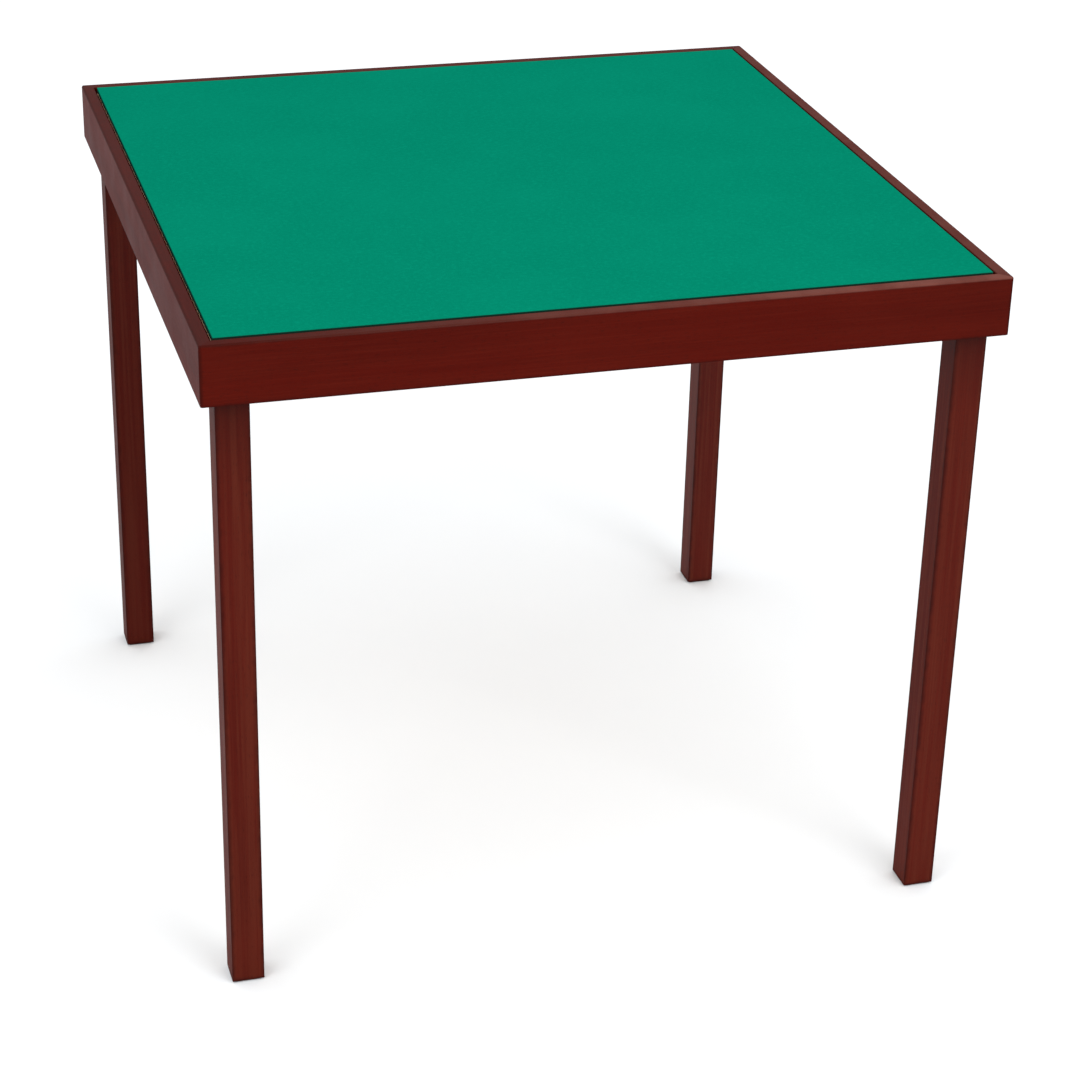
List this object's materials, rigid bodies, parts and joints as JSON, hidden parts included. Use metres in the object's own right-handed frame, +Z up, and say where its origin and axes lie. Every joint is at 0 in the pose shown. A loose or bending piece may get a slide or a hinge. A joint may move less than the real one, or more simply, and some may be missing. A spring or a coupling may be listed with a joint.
{
  "type": "folding card table",
  "caption": "Square folding card table: mahogany-coloured apron frame round a green baize top, on square legs that fold into the frame's depth.",
  "frame": {"origin": "on the floor, under the middle of the top, with the legs open", "axes": "+Z up; +X along the front and back aprons, towards the right; +Y towards the back"},
  "size_m": [0.8, 0.8, 0.71],
  "materials": {
    "lacquered_mahogany": "stained and satin lacquered",
    "baize": "short felted nap",
    "plywood": "sanded birch plywood",
    "plain_beech": "planed beech",
    "bracket_steel": "zinc plated",
    "spring_steel": "blued spring steel",
    "turned_brass": "turned",
    "zinc_fastener": "zinc plated",
    "rubber": "matte"
  },
  "bodies": {
    "table_frame": {"apron_front": "lacquered_mahogany", "apron_right": "lacquered_mahogany", "apron_back": "lacquered_mahogany", "apron_left": "lacquered_mahogany", "top_panel": "plywood", "baize_cover": "baize", "baize_edges": "baize", "ledger_front": "plain_beech", "ledger_right": "plain_beech", "ledger_back": "plain_beech", "ledger_left": "plain_beech", "corner_gusset_front_left": "plywood", "corner_gusset_front_right": "plywood", "corner_gusset_back_right": "plywood", "corner_gusset_back_left": "plywood", "cross_batten_along": "plain_beech", "cross_batten_across": "plain_beech", "leg_bracket_front_left": "bracket_steel", "leg_bracket_front_right": "bracket_steel", "leg_bracket_back_right": "bracket_steel", "leg_bracket_back_left": "bracket_steel", "pivot_bolts": "zinc_fastener", "pivot_washers": "zinc_fastener", "pivot_nuts": "zinc_fastener", "lock_leaf_front_left": "spring_steel", "lock_leaf_front_right": "spring_steel", "lock_leaf_back_right": "spring_steel", "lock_leaf_back_left": "spring_steel", "lock_peg_front_left": "turned_brass", "lock_peg_front_right": "turned_brass", "lock_peg_back_right": "turned_brass", "lock_peg_back_left": "turned_brass", "leaf_rivets": "zinc_fastener", "bracket_screws": "zinc_fastener", "cheek_screws": "zinc_fastener", "panel_screws": "zinc_fastener", "ledger_screws": "zinc_fastener", "batten_screws": "zinc_fastener"},
    "front_left_leg_body": {"leg_front_left": "lacquered_mahogany", "leg_bush_front_left": "turned_brass", "wear_plate_front_left": "bracket_steel", "plate_pins_front_left": "zinc_fastener", "foot_glide_front_left": "rubber"},
    "front_right_leg_body": {"leg_front_right": "lacquered_mahogany", "leg_bush_front_right": "turned_brass", "wear_plate_front_right": "bracket_steel", "plate_pins_front_right": "zinc_fastener", "foot_glide_front_right": "rubber"},
    "back_right_leg_body": {"leg_back_right": "lacquered_mahogany", "leg_bush_back_right": "turned_brass", "wear_plate_back_right": "bracket_steel", "plate_pins_back_right": "zinc_fastener", "foot_glide_back_right": "rubber"},
    "back_left_leg_body": {"leg_back_left": "lacquered_mahogany", "leg_bush_back_left": "turned_brass", "wear_plate_back_left": "bracket_steel", "plate_pins_back_left": "zinc_fastener", "foot_glide_back_left": "rubber"}
  },
  "joints": [
    {"name": "front_left_leg_fold", "type": "hinge", "parent": "table_frame", "child": "front_left_leg_body", "pos_m": [-0.3682, -0.3682, 0.6741], "axis": [0, -1, 0], "range_deg": [0, 90], "deforming": ["lock_leaf_front_left", "lock_peg_front_left"]},
    {"name": "front_right_leg_fold", "type": "hinge", "parent": "table_frame", "child": "front_right_leg_body", "pos_m": [0.3682, -0.3682, 0.6741], "axis": [1, 0, 0], "range_deg": [0, 90], "deforming": ["lock_leaf_front_right", "lock_peg_front_right"]},
    {"name": "back_right_leg_fold", "type": "hinge", "parent": "table_frame", "child": "back_right_leg_body", "pos_m": [0.3682, 0.3682, 0.6741], "axis": [0, 1, 0], "range_deg": [0, 90], "deforming": ["lock_leaf_back_right", "lock_peg_back_right"]},
    {"name": "back_left_leg_fold", "type": "hinge", "parent": "table_frame", "child": "back_left_leg_body", "pos_m": [-0.3682, 0.3682, 0.6741], "axis": [-1, 0, 0], "range_deg": [0, 90], "deforming": ["lock_leaf_back_left", "lock_peg_back_left"]}
  ]
}
